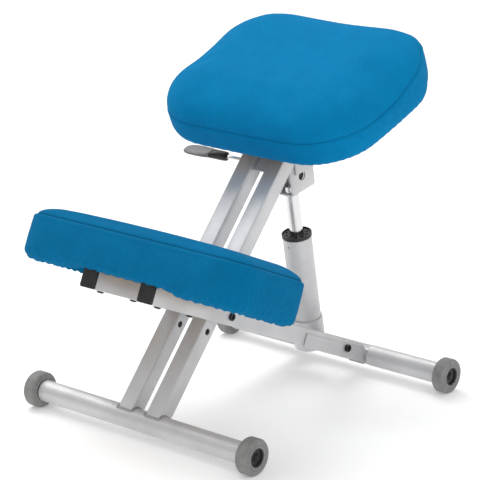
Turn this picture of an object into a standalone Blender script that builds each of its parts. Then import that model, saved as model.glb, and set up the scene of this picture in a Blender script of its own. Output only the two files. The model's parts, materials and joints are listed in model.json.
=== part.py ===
"""Kneeling massage chair: two crossed steel frames, a gas lift, a seat cushion and a knee cushion."""

from math import cos, radians, sin

import bmesh
import bpy
from mathutils import Matrix, Vector

# Driving dimensions, in metres. The front faces -Y, and the floor is at z = 0.
SIDES = (("left", -1.0), ("right", 1.0))
ACROSS = (0.0, radians(90), 0.0)
GAP = 0.0003
WHEELBASE = 0.502
FRONT_AXLE_Y = -0.24164
REAR_AXLE_Y = FRONT_AXLE_Y + WHEELBASE
ROLLER_RADIUS = 0.030
ROLLER_WIDTH = 0.023
FRONT_TRACK = 0.484
REAR_TRACK = 0.506
FOOT_TUBE_RADIUS = 0.018
WALL = 0.002

TUBE = 0.030
TUBE_CORNER = 0.003
INNER_TUBE_X = 0.0295
BEAM_X = 0.061
LEAN = radians(40.16)
SLOPE = radians(23.21)
INNER_OFFSET_Y = -0.003
BEAM_OFFSET_Z = 0.001
BEAM_LENGTH = 0.6005
INNER_TUBE_TOP = 0.420
TIE_ALONG = 0.290
TIE_LENGTH = 0.070
PIVOT_BORE = 0.0054
SCREW_BORE = 0.0034

CROSS_TUBE = 0.028
CROSS_TUBE_LENGTH = 0.168
PLATE_THICKNESS = 0.003
PLATE_REACH = 0.194
PLATE_HEIGHT = 0.0235
PLATE_OUT = -0.0052
SIDE_BOLT = 0.074
KNEE_SCREWS = (0.570, 0.488)

COLUMN_LEAN = radians(11.25)
COLUMN_FOOT_Y = REAR_AXLE_Y - 0.0713
COLUMN_FOOT_Z = 0.060
COLUMN_RADIUS = 0.025
COLUMN_TOP = 0.199
ROD_RADIUS = 0.0118
ROD_BOTTOM = 0.080
SOCKET_RADIUS = 0.0275
SOCKET_BOTTOM = -0.013
SOCKET_TOP = 0.045
VENT_ALONG = 0.187

BRACKET_BOTTOM = 0.2795
BRACKET_TOP = 0.349
BRACKET_WIDTH = 0.031
BRACKET_SHEET = 0.0025
BRACKET_FRONT = -0.015
BRACKET_REAR = 0.045
LIFT_PIN = 0.335
LIFT_PIN_OUT = 0.018
LIFT_PIN_RADIUS = 0.005
LIFT_PIN_PLAY = 0.0012
WINDOW_ALONG = 0.3087
WINDOW_OUT = 0.0137
WINDOW_RADIUS = 0.0085
SEAT_BRACKET_LOW = 0.3162
SEAT_BRACKET_DEPTH = 0.046
LEVER_ALONG = 0.3225
LEVER_RADIUS = 0.0035
LEVER_REACH = 0.142
BUTTON_TOP = LEVER_ALONG - LEVER_RADIUS - GAP
PADDLE_LENGTH = 0.100
PADDLE_THICKNESS = 0.010
PADDLE_TURN = radians(28)

SEAT_TILT = radians(20.5)
SEAT_CENTRE_Y = FRONT_AXLE_Y + 0.3801
SEAT_CENTRE_Z = 0.5219
SEAT_SIZE = (0.400, 0.318, 0.104)
KNEE_SIZE = (0.466, 0.199, 0.080)
KNEE_ALONG = 0.5135
BOARD = 0.010
SEAT_PLATE = 0.004
SKIRT = 0.022
SEAT_PLATE_SIZE = (0.180, 0.230)

ROUND_STEPS = 32
SMALL_STEPS = 20

BRIGHT_STEEL = ((0.63, 0.63, 0.64), 0.38, 0.85)
CHROME = ((0.80, 0.80, 0.82), 0.12, 1.0)
BLACK_STEEL = ((0.02, 0.02, 0.022), 0.45, 0.6)
BLACK_PLASTIC = ((0.02, 0.02, 0.022), 0.5, 0.0)
GREY_RUBBER = ((0.11, 0.115, 0.12), 0.75, 0.0)
LEVER_GREY = ((0.30, 0.30, 0.31), 0.45, 0.3)
BLUE_FABRIC = ((0.006, 0.19, 0.42), 0.9, 0.0)
PLYWOOD = ((0.45, 0.32, 0.19), 0.7, 0.0)


def clear_scene():
    for item in list(bpy.data.objects):
        bpy.data.objects.remove(item, do_unlink=True)


def new_collection(name):
    collection = bpy.data.collections.new(name)
    bpy.context.scene.collection.children.link(collection)
    return collection


def material(name, look):
    colour, roughness, metallic = look
    made = bpy.data.materials.new(name)
    made.use_nodes = True
    shader = made.node_tree.nodes["Principled BSDF"]
    shader.inputs["Base Color"].default_value = (*colour, 1.0)
    shader.inputs["Roughness"].default_value = roughness
    shader.inputs["Metallic"].default_value = metallic
    return made


# Frames of reference in the middle plane: where a group starts and how far it is turned about X.
def point(origin, turn, along_y=0.0, along_z=0.0, x=0.0):
    offset = Matrix.Rotation(turn, 3, "X") @ Vector((x, along_y, along_z))
    return Vector(origin) + offset


def middle_plane_crossing():
    """Where the centre lines of the two crossed frames meet, seen from the side."""
    inner = Vector((FRONT_AXLE_Y + INNER_OFFSET_Y, ROLLER_RADIUS))
    beam = Vector((REAR_AXLE_Y, ROLLER_RADIUS + BEAM_OFFSET_Z))
    gap = beam - inner
    turn = sin(LEAN) * sin(SLOPE) + cos(LEAN) * cos(SLOPE)
    reach = (gap.x * sin(SLOPE) + gap.y * cos(SLOPE)) / turn
    return inner + reach * Vector((sin(LEAN), cos(LEAN)))


FRONT_AXLE = Vector((0.0, FRONT_AXLE_Y, ROLLER_RADIUS))
REAR_AXLE = Vector((0.0, REAR_AXLE_Y, ROLLER_RADIUS))
INNER_START = FRONT_AXLE + Vector((0.0, INNER_OFFSET_Y, 0.0))
BEAM_START = REAR_AXLE + Vector((0.0, 0.0, BEAM_OFFSET_Z))
CROSSING = middle_plane_crossing()
PIVOT = Vector((0.0, CROSSING.x, CROSSING.y))
PIVOT_ALONG = (PIVOT - INNER_START).length
COLUMN_FOOT = Vector((0.0, COLUMN_FOOT_Y, COLUMN_FOOT_Z))
COLUMN_PIVOT = COLUMN_FOOT
SEAT_CENTRE = Vector((0.0, SEAT_CENTRE_Y, SEAT_CENTRE_Z))
SEAT_PLATE_LOW = -SEAT_SIZE[2] / 2 - 2 * GAP - SEAT_PLATE


def on_beam(along, out=0.0, x=0.0):
    return point(BEAM_START, -SLOPE, -along, out, x)


def on_inner(along, out=0.0, x=0.0):
    return point(INNER_START, -LEAN, out, along, x)


def on_column(along, out=0.0, x=0.0):
    return point(COLUMN_FOOT, COLUMN_LEAN, out, along, x)


def on_seat(along_y, up, x=0.0):
    return point(SEAT_CENTRE, SEAT_TILT, along_y, up, x)


# Building blocks.
def place(name, mesh, collection, location, rotation, look):
    made = bpy.data.objects.new(name, mesh)
    collection.objects.link(made)
    made.location = location
    made.rotation_euler = rotation
    if look is not None:
        mesh.materials.append(look)
    return made


def box_mesh(name, size, rounded_axis=None, radius=0.0, segments=2):
    shape = bmesh.new()
    bmesh.ops.create_cube(shape, size=1.0)
    bmesh.ops.scale(shape, vec=size, verts=shape.verts)
    if radius:
        edges = [edge for edge in shape.edges if rounded_axis is None or along_axis(edge, rounded_axis)]
        bmesh.ops.bevel(
            shape, geom=edges, offset=radius, offset_type="OFFSET", segments=segments, profile=0.5,
            affect="EDGES", material=-1,
        )
    mesh = bpy.data.meshes.new(name)
    shape.to_mesh(mesh)
    shape.free()
    return mesh


def along_axis(edge, axis):
    span = edge.verts[0].co - edge.verts[1].co
    return abs(abs(span[axis]) - span.length) < 1e-6


def box(name, size, location, turn=0.0, rounded_axis=None, radius=0.0, segments=2):
    mesh = box_mesh(name, size, rounded_axis, radius, segments)
    return place(name, mesh, PARTS, location, (turn, 0.0, 0.0), LOOKS.get(name))


def turned(name, profile, location, rotation, steps=ROUND_STEPS, collection=None):
    """A solid of revolution about the object's own Z, from (radius, height) pairs running down."""
    mesh = bpy.data.meshes.new(name)
    points = [(radius, 0.0, height) for radius, height in profile]
    closed = profile[0][0] > 0.0
    edges = [(index, index + 1) for index in range(len(points) - 1)]
    if closed:
        edges.append((len(points) - 1, 0))
    mesh.from_pydata(points, edges, [])
    made = place(name, mesh, collection or PARTS, location, rotation, LOOKS.get(name))
    screw = made.modifiers.new("Screw", "SCREW")
    screw.steps = steps
    screw.render_steps = steps
    screw.use_merge_vertices = True
    screw.merge_threshold = 0.00001
    return made


def mark_cutter(cutter):
    cutter.hide_render = True
    cutter.display_type = "WIRE"
    return cutter


def box_cutter(name, size, location, turn=0.0):
    mesh = box_mesh(name, size)
    return mark_cutter(place(name, mesh, CUTTERS, location, (turn, 0.0, 0.0), None))


def round_cutter(name, radius, length, location, rotation, steps=SMALL_STEPS):
    profile = [(0.0, length / 2), (radius, length / 2), (radius, -length / 2), (0.0, -length / 2)]
    return mark_cutter(turned(name, profile, location, rotation, steps, CUTTERS))


def cut(target, cutter, operation="DIFFERENCE"):
    modifier = target.modifiers.new(cutter.name, "BOOLEAN")
    modifier.operation = operation
    modifier.solver = "EXACT"
    modifier.object = cutter


def square_tube(name, length, location, turn, axis, size=(TUBE, TUBE)):
    """A hollow tube of square section, open at both ends, along the object's own axis."""
    outer = [size[0], size[1]]
    outer.insert(axis, length)
    bore = [size[0] - 2 * WALL, size[1] - 2 * WALL]
    bore.insert(axis, length + 0.01)
    tube = box(name, outer, location, turn, axis, TUBE_CORNER, 2)
    cut(tube, box_cutter(name + "_bore", bore, location, turn))
    return tube


def smooth(made, angle=radians(35)):
    made.data.shade_smooth()
    made.data.set_sharp_from_angle(angle=angle)


# The base: feet, rollers and the two crossed frames.
def round_tube(name, start_x, end_x, axle):
    middle = Vector(((start_x + end_x) / 2, axle.y, axle.z))
    half = abs(end_x - start_x) / 2
    bore = FOOT_TUBE_RADIUS - WALL
    profile = [(bore, half), (FOOT_TUBE_RADIUS, half), (FOOT_TUBE_RADIUS, -half), (bore, -half)]
    tube = turned(name, profile, middle, ACROSS)
    smooth(tube)
    return tube


def feet():
    reach = FRONT_TRACK / 2 - ROLLER_WIDTH - 0.002
    round_tube("front_foot_tube", -reach, reach, FRONT_AXLE)
    reach = REAR_TRACK / 2 - ROLLER_WIDTH - 0.002
    inner = CROSS_TUBE_LENGTH / 2 + GAP
    for side, sign in SIDES:
        round_tube("rear_foot_tube_" + side, sign * inner, sign * reach, REAR_AXLE)
    size = (CROSS_TUBE, CROSS_TUBE)
    square_tube("rear_cross_tube", CROSS_TUBE_LENGTH, REAR_AXLE, 0.0, 0, size)


def roller(corner, axle, sign, track):
    """A rubber tyre on a black hub, held to the tube's end by a stub axle with a domed head."""
    face = Vector((sign * track / 2, axle.y, axle.z))
    rotation = (0.0, sign * radians(90), 0.0)
    width = ROLLER_WIDTH
    hub = 0.0155
    rounding = 0.004
    tread = [
        (hub + GAP, 0.0), (0.0195, 0.0), (0.0205, -0.0008), (0.0215, 0.0), (0.0245, 0.0),
        (ROLLER_RADIUS - rounding * 0.4, -rounding * 0.35), (ROLLER_RADIUS, -rounding),
        (ROLLER_RADIUS, rounding - width), (ROLLER_RADIUS - rounding * 0.4, rounding * 0.35 - width),
        (0.0245, -width), (hub + GAP, -width),
    ]
    tyre = turned("tyre_" + corner, tread, face, rotation)
    smooth(tyre, radians(50))
    recess = 0.004
    bore = 0.0044
    spool = [
        (bore, -recess), (0.0125, -recess), (0.0135, -0.001), (hub, -0.001), (hub, -width), (bore, -width),
    ]
    smooth(turned("hub_" + corner, spool, face, rotation, 24))
    plug = FOOT_TUBE_RADIUS - WALL - GAP
    shank = bore - 0.0004
    flange = -width - GAP
    stub = [
        (0.0, -0.0008), (0.0035, -0.0012), (0.006, -0.0026), (0.0070, GAP - recess),
        (shank, GAP - recess), (shank, flange), (FOOT_TUBE_RADIUS, flange),
        (FOOT_TUBE_RADIUS, flange - 0.0012), (plug, flange - 0.0012), (plug, flange - 0.016),
        (0.0, flange - 0.016),
    ]
    smooth(turned("stub_axle_" + corner, stub, face, rotation, 24))


def rollers():
    for side, sign in SIDES:
        roller("front_" + side, FRONT_AXLE, sign, FRONT_TRACK)
        roller("rear_" + side, REAR_AXLE, sign, REAR_TRACK)


def inner_tubes():
    """The leaning pair that carries the seat, coped onto the front foot and cut under the seat plate."""
    top = PIVOT_ALONG + INNER_TUBE_TOP
    start = 0.006
    cope = round_cutter("front_cope", FOOT_TUBE_RADIUS + GAP, 0.2, FRONT_AXLE, ACROSS, ROUND_STEPS)
    seat_cut = box_cutter("seat_cut", (0.2, 0.4, 0.2), on_seat(-0.02, SEAT_PLATE_LOW - GAP + 0.1), SEAT_TILT)
    pivot_hole = round_cutter("inner_pivot_hole", PIVOT_BORE, 0.2, PIVOT, ACROSS)
    side_hole = round_cutter("inner_side_hole", 0.0055, 0.2, on_inner(PIVOT_ALONG - 0.035), ACROSS)
    for side, sign in SIDES:
        middle = on_inner((start + top) / 2, 0.0, sign * INNER_TUBE_X)
        tube = square_tube("inner_tube_" + side, top - start, middle, -LEAN, 2)
        for cutter in (cope, seat_cut, pivot_hole, side_hole):
            cut(tube, cutter)
        hang_on(tube, SEAT_FRAME_AXIS)
    between = 2 * INNER_TUBE_X - TUBE - 2 * GAP
    tie_at = on_inner(PIVOT_ALONG + TIE_ALONG, -0.004)
    tie = box("tube_tie_plate", (between, 0.004, TIE_LENGTH), tie_at, -LEAN, None, 0.0006, 1)
    hang_on(tie, SEAT_FRAME_AXIS)


def outer_beams():
    """The sloping pair under the knee cushion, square-cut where it meets the rear cross tube."""
    end_cut = box_cutter(
        "beam_end_cut", (0.2, 0.06, 0.2), (0.0, REAR_AXLE_Y - CROSS_TUBE / 2 - GAP + 0.03, 0.04)
    )
    pivot_hole = round_cutter("beam_pivot_hole", PIVOT_BORE, 0.2, PIVOT, ACROSS)
    trunnion_hole = round_cutter("beam_trunnion_hole", 0.0063, 0.11, COLUMN_PIVOT, ACROSS)
    for side, sign in SIDES:
        middle = on_beam(BEAM_LENGTH / 2, 0.0, sign * BEAM_X)
        beam = square_tube("outer_beam_" + side, BEAM_LENGTH, middle, -SLOPE, 1)
        for cutter in (end_cut, pivot_hole, trunnion_hole):
            cut(beam, cutter)
        for index, along in enumerate(KNEE_SCREWS):
            name = "knee_screw_hole_%s_%d" % (side, index + 1)
            at = on_beam(along, 0.0, sign * BEAM_X)
            cut(beam, round_cutter(name, SCREW_BORE, 0.05, at, (-SLOPE, 0, 0), 12))
        name = "side_bolt_hole_" + side
        place_x = sign * (BEAM_X + TUBE / 2)
        cut(beam, round_cutter(name, SCREW_BORE, 0.02, on_beam(SIDE_BOLT, 0.0, place_x), ACROSS, 12))
        end_plug(side, sign)
        side_plate(side, sign, end_cut)


def end_plug(side, sign):
    """A moulded cap over a beam's front end, with a spigot that fills the bore."""
    name = "beam_end_plug_" + side
    cap = 0.004
    spigot = 0.014
    shape = bmesh.new()
    bmesh.ops.create_cube(shape, size=1.0)
    bmesh.ops.scale(shape, vec=(TUBE, cap, TUBE), verts=shape.verts)
    long_edges = [edge for edge in shape.edges if along_axis(edge, 1)]
    bmesh.ops.bevel(
        shape, geom=long_edges, offset=TUBE_CORNER, offset_type="OFFSET", segments=2, profile=0.5,
        affect="EDGES", material=-1,
    )
    shape.faces.ensure_lookup_table()
    back = max(shape.faces, key=lambda face: face.calc_center_median().y)
    bmesh.ops.inset_region(shape, faces=[back], thickness=WALL + 2 * GAP, use_even_offset=True)
    grown = bmesh.ops.extrude_face_region(shape, geom=[back])
    moved = [item for item in grown["geom"] if isinstance(item, bmesh.types.BMVert)]
    bmesh.ops.delete(shape, geom=[back], context="FACES")
    bmesh.ops.translate(shape, vec=(0.0, spigot, 0.0), verts=moved)
    mesh = bpy.data.meshes.new(name)
    shape.to_mesh(mesh)
    shape.free()
    location = on_beam(BEAM_LENGTH + GAP + cap / 2, 0.0, sign * BEAM_X)
    place(name, mesh, PARTS, location, (-SLOPE, 0.0, 0.0), LOOKS[name])


def side_plate(side, sign, end_cut):
    """A doubling plate on the outside of the beam's rear end, with its fixing bolt."""
    middle_x = sign * (BEAM_X + TUBE / 2 + GAP + PLATE_THICKNESS / 2)
    name = "beam_side_plate_" + side
    place_at = on_beam(PLATE_REACH / 2, PLATE_OUT, middle_x)
    plate = box(name, (PLATE_THICKNESS, PLATE_REACH, PLATE_HEIGHT), place_at, -SLOPE, None, 0.0006, 1)
    cut(plate, end_cut)
    outer_x = BEAM_X + TUBE / 2 + GAP + PLATE_THICKNESS
    hole = "side_plate_hole_" + side
    cut(plate, round_cutter(hole, SCREW_BORE, 0.02, on_beam(SIDE_BOLT, 0.0, sign * outer_x), ACROSS, 12))
    head = 0.0055
    profile = [
        (0.0, head - 0.002), (0.0030, head - 0.002), (0.0034, head), (0.0060, head), (0.0066, head - 0.0008),
        (0.0066, GAP), (0.0030, GAP), (0.0030, -0.010), (0.0, -0.010),
    ]
    rotation = (0.0, sign * radians(90), 0.0)
    bolt = turned("side_bolt_" + side, profile, on_beam(SIDE_BOLT, 0.0, sign * outer_x), rotation, SMALL_STEPS)
    smooth(bolt)


def main_pivot():
    """One long bolt through both frames, with a washer in each gap and a nut at the left."""
    outside = BEAM_X + TUBE / 2 + GAP
    head = 0.003
    shank = 0.005
    profile = [
        (0.0, outside + head - 0.002), (0.003, outside + head - 0.002), (0.0034, outside + head),
        (0.0062, outside + head), (0.0066, outside + head - 0.0006), (0.0066, outside), (shank, outside),
        (shank, -outside - 0.009), (0.0, -outside - 0.009),
    ]
    smooth(turned("pivot_bolt", profile, PIVOT, ACROSS, SMALL_STEPS))
    thick = 0.008
    nut = [(0.0053, thick), (0.0078, thick), (0.0088, thick - 0.001), (0.0088, 0.0), (0.0053, 0.0)]
    turned("pivot_nut", nut, PIVOT - Vector((outside + thick, 0.0, 0.0)), ACROSS, 12)
    inner_side = INNER_TUBE_X + TUBE / 2
    space = BEAM_X - TUBE / 2 - inner_side
    half = space / 2 - GAP
    for side, sign in SIDES:
        profile = [(0.0054, half), (0.010, half), (0.010, -half), (0.0054, -half)]
        middle = PIVOT + Vector((sign * (inner_side + space / 2), 0.0, 0.0))
        turned("pivot_washer_" + side, profile, middle, ACROSS, SMALL_STEPS)


# The gas lift.
def socket():
    """A cup between the beams that holds the column's foot and rocks on two side pins."""
    tilt = (COLUMN_LEAN, 0.0, 0.0)
    rounding = 0.004
    inside = COLUMN_RADIUS + GAP
    floor = SOCKET_BOTTOM + 0.003
    profile = [
        (0.0, floor), (inside, floor), (inside, SOCKET_TOP), (SOCKET_RADIUS, SOCKET_TOP),
        (SOCKET_RADIUS, SOCKET_BOTTOM + rounding), (SOCKET_RADIUS - 0.3 * rounding, SOCKET_BOTTOM + 0.3 * rounding),
        (SOCKET_RADIUS - rounding, SOCKET_BOTTOM), (0.0, SOCKET_BOTTOM),
    ]
    cup = turned("column_socket", profile, COLUMN_FOOT, tilt, ROUND_STEPS)
    boss_end = BEAM_X - TUBE / 2 - 0.004
    length = boss_end - inside - 0.0008
    for side, sign in SIDES:
        middle = COLUMN_PIVOT + Vector((sign * (boss_end - length / 2), 0.0, 0.0))
        cut(cup, round_cutter("socket_boss_" + side, 0.010, length, middle, ACROSS, 24), "UNION")
        middle = COLUMN_PIVOT + Vector((sign * (boss_end - 0.004), 0.0, 0.0))
        cut(cup, round_cutter("socket_boss_bore_" + side, 0.0064, 0.019, middle, ACROSS))
        pin = [
            (0.0, 0.012), (0.006, 0.012), (0.006, -0.0003), (0.009, -0.0003), (0.009, -0.0037),
            (0.006, -0.0037), (0.006, -0.0125), (0.0, -0.0125),
        ]
        at = COLUMN_PIVOT + Vector((sign * (BEAM_X - TUBE / 2), 0.0, 0.0))
        rotation = (0.0, sign * radians(90), 0.0)
        smooth(turned("trunnion_pin_" + side, pin, at, rotation, SMALL_STEPS))
    smooth(cup)
    hang_on(cup, COLUMN_AXIS)


def gas_column():
    tilt = (COLUMN_LEAN, 0.0, 0.0)
    foot = SOCKET_BOTTOM + 0.003 + GAP
    bore = ROD_RADIUS + 0.0006
    bevel = 0.0012
    profile = [
        (0.0, ROD_BOTTOM - 0.045), (bore, ROD_BOTTOM - 0.045), (bore, COLUMN_TOP),
        (COLUMN_RADIUS - bevel, COLUMN_TOP), (COLUMN_RADIUS, COLUMN_TOP - bevel), (COLUMN_RADIUS, foot + bevel),
        (COLUMN_RADIUS - bevel, foot), (0.0, foot),
    ]
    column = turned("gas_column", profile, COLUMN_FOOT, tilt, ROUND_STEPS)
    front = on_column(VENT_ALONG, -COLUMN_RADIUS, 0.0)
    cut(column, round_cutter("vent_hole", 0.0016, 0.012, front, (COLUMN_LEAN + radians(90), 0, 0), 8))
    smooth(column)
    hang_on(column, COLUMN_AXIS)


def column_collar():
    """A black guide ring on top of the column, with a ring of small holes round the rod."""
    tilt = (COLUMN_LEAN, 0.0, 0.0)
    height = 0.006
    low = COLUMN_TOP + GAP
    outer = COLUMN_RADIUS + 0.001
    rim = 0.002
    bore = ROD_RADIUS + 0.0005
    profile = [
        (bore, low + height - rim), (outer - rim, low + height - rim), (outer - rim, low + height),
        (outer, low + height), (outer, low), (bore, low),
    ]
    collar = turned("column_collar", profile, COLUMN_FOOT, tilt, ROUND_STEPS)
    count = 10
    ring = 0.0178
    for index in range(count):
        angle = radians(360) * (index + 0.5) / count
        centre = on_column(low + height - rim, ring * sin(angle), ring * cos(angle))
        cut(collar, round_cutter("collar_hole_%02d" % (index + 1), 0.0024, 0.005, centre, tilt, 8))
    smooth(collar)
    hang_on(collar, COLUMN_AXIS)


def gas_rod():
    tilt = (COLUMN_LEAN, 0.0, 0.0)
    shoulder = BRACKET_BOTTOM - GAP
    neck = 0.0085
    nut_top = BRACKET_BOTTOM + BRACKET_SHEET + 0.012
    nut_low = BRACKET_BOTTOM + BRACKET_SHEET + GAP
    bevel = 0.001
    button_bore = 0.0036
    profile = [
        (0.0, nut_top - 0.012), (button_bore, nut_top - 0.012), (button_bore, nut_top), (0.0105, nut_top),
        (0.0115, nut_top - bevel), (0.0115, nut_low), (neck, nut_low), (neck, shoulder),
        (ROD_RADIUS - bevel, shoulder), (ROD_RADIUS, shoulder - bevel), (ROD_RADIUS, ROD_BOTTOM + bevel),
        (ROD_RADIUS - bevel, ROD_BOTTOM), (0.0, ROD_BOTTOM),
    ]
    rod = turned("gas_rod", profile, COLUMN_FOOT, tilt, ROUND_STEPS)
    smooth(rod)
    hang_on(rod, COLUMN_AXIS)
    pin = [
        (0.0, BUTTON_TOP), (0.0022, BUTTON_TOP), (0.0030, BUTTON_TOP - 0.001), (0.0033, nut_top - 0.008),
        (0.0, nut_top - 0.008),
    ]
    button = turned("release_pin", pin, COLUMN_FOOT, tilt, 16)
    smooth(button)
    hang_on(button, COLUMN_AXIS)


def rod_bracket():
    """A folded channel on the rod's end: a bottom web square to the rod and two side cheeks."""
    height = BRACKET_TOP - BRACKET_BOTTOM
    depth = BRACKET_REAR - BRACKET_FRONT
    middle_out = (BRACKET_REAR + BRACKET_FRONT) / 2
    size = (BRACKET_WIDTH, depth, height)
    middle = on_column(BRACKET_BOTTOM + height / 2, middle_out)
    bracket = box("rod_bracket", size, middle, COLUMN_LEAN, 1, 0.004, 3)
    hollow = (BRACKET_WIDTH - 2 * BRACKET_SHEET, depth + 0.01, height)
    inside = on_column(BRACKET_BOTTOM + BRACKET_SHEET + height / 2, middle_out)
    cut(bracket, box_cutter("bracket_hollow", hollow, inside, COLUMN_LEAN))
    tilt = (COLUMN_LEAN, 0.0, 0.0)
    cut(bracket, round_cutter("bracket_rod_hole", 0.0088, 0.02, on_column(BRACKET_BOTTOM), tilt, 24))
    window = on_column(WINDOW_ALONG, WINDOW_OUT)
    cut(bracket, round_cutter("bracket_window", WINDOW_RADIUS, 0.06, window, ACROSS, 24))
    pin_bore = LIFT_PIN_RADIUS + LIFT_PIN_PLAY
    lever_at = on_column(LEVER_ALONG, 0.0, -BRACKET_WIDTH / 2)
    cut(bracket, round_cutter("bracket_lever_bore", LEVER_RADIUS + 0.0006, 0.012, lever_at, ACROSS, 16))
    cut(bracket, round_cutter("bracket_pin_bore", pin_bore, 0.06, on_column(LIFT_PIN, LIFT_PIN_OUT), ACROSS, 24))
    hang_on(bracket, COLUMN_AXIS)


def seat_bracket():
    """Two cheeks and a top flange under the seat plate, outside the rod's channel, joined by a pin."""
    clear = 0.0006
    inside = BRACKET_WIDTH / 2 + clear
    sheet = 0.003
    flange_top = SEAT_PLATE_LOW - GAP
    width = 2 * (inside + sheet)
    height = 0.125
    middle = on_column(SEAT_BRACKET_LOW + height / 2, 0.019)
    body = box("seat_bracket", (width, SEAT_BRACKET_DEPTH, height), middle, COLUMN_LEAN)
    above = box_cutter("seat_bracket_top_cut", (0.1, 0.3, 0.2), on_seat(0.0, flange_top + 0.1), SEAT_TILT)
    cut(body, above)
    roof = on_seat(0.0, flange_top - sheet - 0.1)
    roof_box = box_cutter("seat_bracket_hollow", (2 * inside, 0.3, 0.2), roof, SEAT_TILT)
    cut(body, roof_box)
    front = on_inner(PIVOT_ALONG + 0.3, TUBE / 2 + 2 * GAP - 0.05)
    cut(body, box_cutter("seat_bracket_front_cut", (0.2, 0.1, 0.3), front, -LEAN))
    notch = on_column(LEVER_ALONG, -0.004, -inside)
    cut(body, box_cutter("seat_bracket_notch", (0.02, 0.020, 0.022), notch, COLUMN_LEAN))
    bore = LIFT_PIN_RADIUS + GAP
    cut(body, round_cutter("seat_bracket_bore", bore, 0.06, on_column(LIFT_PIN, LIFT_PIN_OUT), ACROSS, 24))
    hang_on(body, SEAT_FRAME_AXIS)
    half = inside + sheet + GAP
    head = 0.0025
    profile = [
        (0.0, half + head), (0.0068, half + head), (0.0075, half + head - 0.0006), (0.0075, half),
        (LIFT_PIN_RADIUS, half), (LIFT_PIN_RADIUS, -half), (0.0075, -half), (0.0075, 0.0006 - half - head),
        (0.0068, -half - head), (0.0, -half - head),
    ]
    pin = turned("lift_pin", profile, on_column(LIFT_PIN, LIFT_PIN_OUT), ACROSS, SMALL_STEPS)
    smooth(pin)
    hang_on(pin, SEAT_FRAME_AXIS)


def release_lever():
    """A straight rod whose inner end lies over the release pin, with a flat paddle at the sitter's right.

    It rocks in the bracket's left cheek: lifting the paddle presses the pin.
    """
    start = 0.006
    fulcrum = on_column(LEVER_ALONG, 0.0, BRACKET_SHEET / 2 - BRACKET_WIDTH / 2)
    marker = axis_marker("lever_axis", fulcrum)
    curve = bpy.data.curves.new("lever_rod", "CURVE")
    curve.dimensions = "3D"
    curve.bevel_depth = LEVER_RADIUS
    curve.bevel_resolution = 3
    curve.use_fill_caps = True
    spline = curve.splines.new("POLY")
    spline.points.add(1)
    for spot, x in zip(spline.points, (start, -LEVER_REACH)):
        spot.co = (x, 0.0, 0.0, 1.0)
    rod = place("lever_rod", curve, PARTS, on_column(LEVER_ALONG), (0.0, 0.0, 0.0), LOOKS["lever_rod"])
    hang_on(rod, marker)
    mesh = paddle_mesh()
    location = on_column(LEVER_ALONG, 0.0, 0.006 - LEVER_REACH)
    paddle = place("lever_paddle", mesh, PARTS, location, (PADDLE_TURN, 0.0, 0.0), LOOKS["lever_paddle"])
    bevel = paddle.modifiers.new("Bevel", "BEVEL")
    bevel.width = 0.002
    bevel.segments = 2
    hole_at = on_column(LEVER_ALONG, 0.0, -LEVER_REACH)
    cut(paddle, round_cutter("paddle_bore", LEVER_RADIUS + GAP, 0.032, hole_at, ACROSS, 16))
    hang_on(paddle, marker)


def paddle_mesh():
    """The paddle's outline, a leaf that grows out of a narrow neck, given its thickness."""
    neck, belly, shoulder, tip = 0.0090, 0.0165, 0.0120, 0.0050
    upper = [
        (-0.004, neck), (-0.34 * PADDLE_LENGTH, neck + 0.001), (-0.55 * PADDLE_LENGTH, belly),
        (-0.80 * PADDLE_LENGTH, belly), (-0.94 * PADDLE_LENGTH, shoulder), (-PADDLE_LENGTH, tip),
    ]
    outline = upper + [(x, -y) for x, y in reversed(upper)]
    curve = bpy.data.curves.new("lever_paddle", "CURVE")
    curve.dimensions = "2D"
    curve.fill_mode = "BOTH"
    curve.extrude = PADDLE_THICKNESS / 2
    edge = curve.splines.new("POLY")
    edge.points.add(len(outline) - 1)
    edge.use_cyclic_u = True
    for spot, (x, y) in zip(edge.points, outline):
        spot.co = (x, y, 0.0, 1.0)
    flat = place("paddle_outline", curve, CUTTERS, (0, 0, 0), (0, 0, 0), None)
    bpy.context.view_layer.update()
    mesh = bpy.data.meshes.new_from_object(flat.evaluated_get(bpy.context.evaluated_depsgraph_get()))
    mesh.name = "lever_paddle"
    bpy.data.objects.remove(flat, do_unlink=True)
    shape = bmesh.new()
    shape.from_mesh(mesh)
    bmesh.ops.remove_doubles(shape, verts=shape.verts, dist=0.00001)
    bmesh.ops.recalc_face_normals(shape, faces=shape.faces)
    shape.to_mesh(mesh)
    shape.free()
    return mesh


# The cushions and what carries them.
def cushion(name, size, corner, crown, hem, middle, turn, pocket):
    """A padded block with rounded corners, and a pocket underneath that takes its board."""
    shape = bmesh.new()
    bmesh.ops.create_cube(shape, size=1.0)
    bmesh.ops.scale(shape, vec=size, verts=shape.verts)
    upright = [item for item in shape.edges if along_axis(item, 2)]
    bmesh.ops.bevel(
        shape, geom=upright, offset=corner, offset_type="OFFSET", segments=5, profile=0.5,
        affect="EDGES", material=-1,
    )
    for sign, rounding in ((1.0, crown), (-1.0, hem)):
        level = sign * size[2] / 2
        rim = [item for item in shape.edges if all(abs(vert.co.z - level) < 1e-6 for vert in item.verts)]
        bmesh.ops.bevel(
            shape, geom=rim, offset=rounding, offset_type="OFFSET", segments=3, profile=0.5,
            affect="EDGES", material=-1,
        )
    mesh = bpy.data.meshes.new(name)
    shape.to_mesh(mesh)
    shape.free()
    made = place(name, mesh, PARTS, middle, (turn, 0.0, 0.0), LOOKS[name])
    depth = BOARD + 2 * GAP
    low = -size[2] / 2
    pocket_size = (pocket[0] + 2 * GAP, pocket[1] + 2 * GAP, 2 * depth)
    cut(made, box_cutter(name + "_pocket", pocket_size, point(middle, turn, 0.0, low), turn))
    smooth(made, radians(40))
    return made


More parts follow.
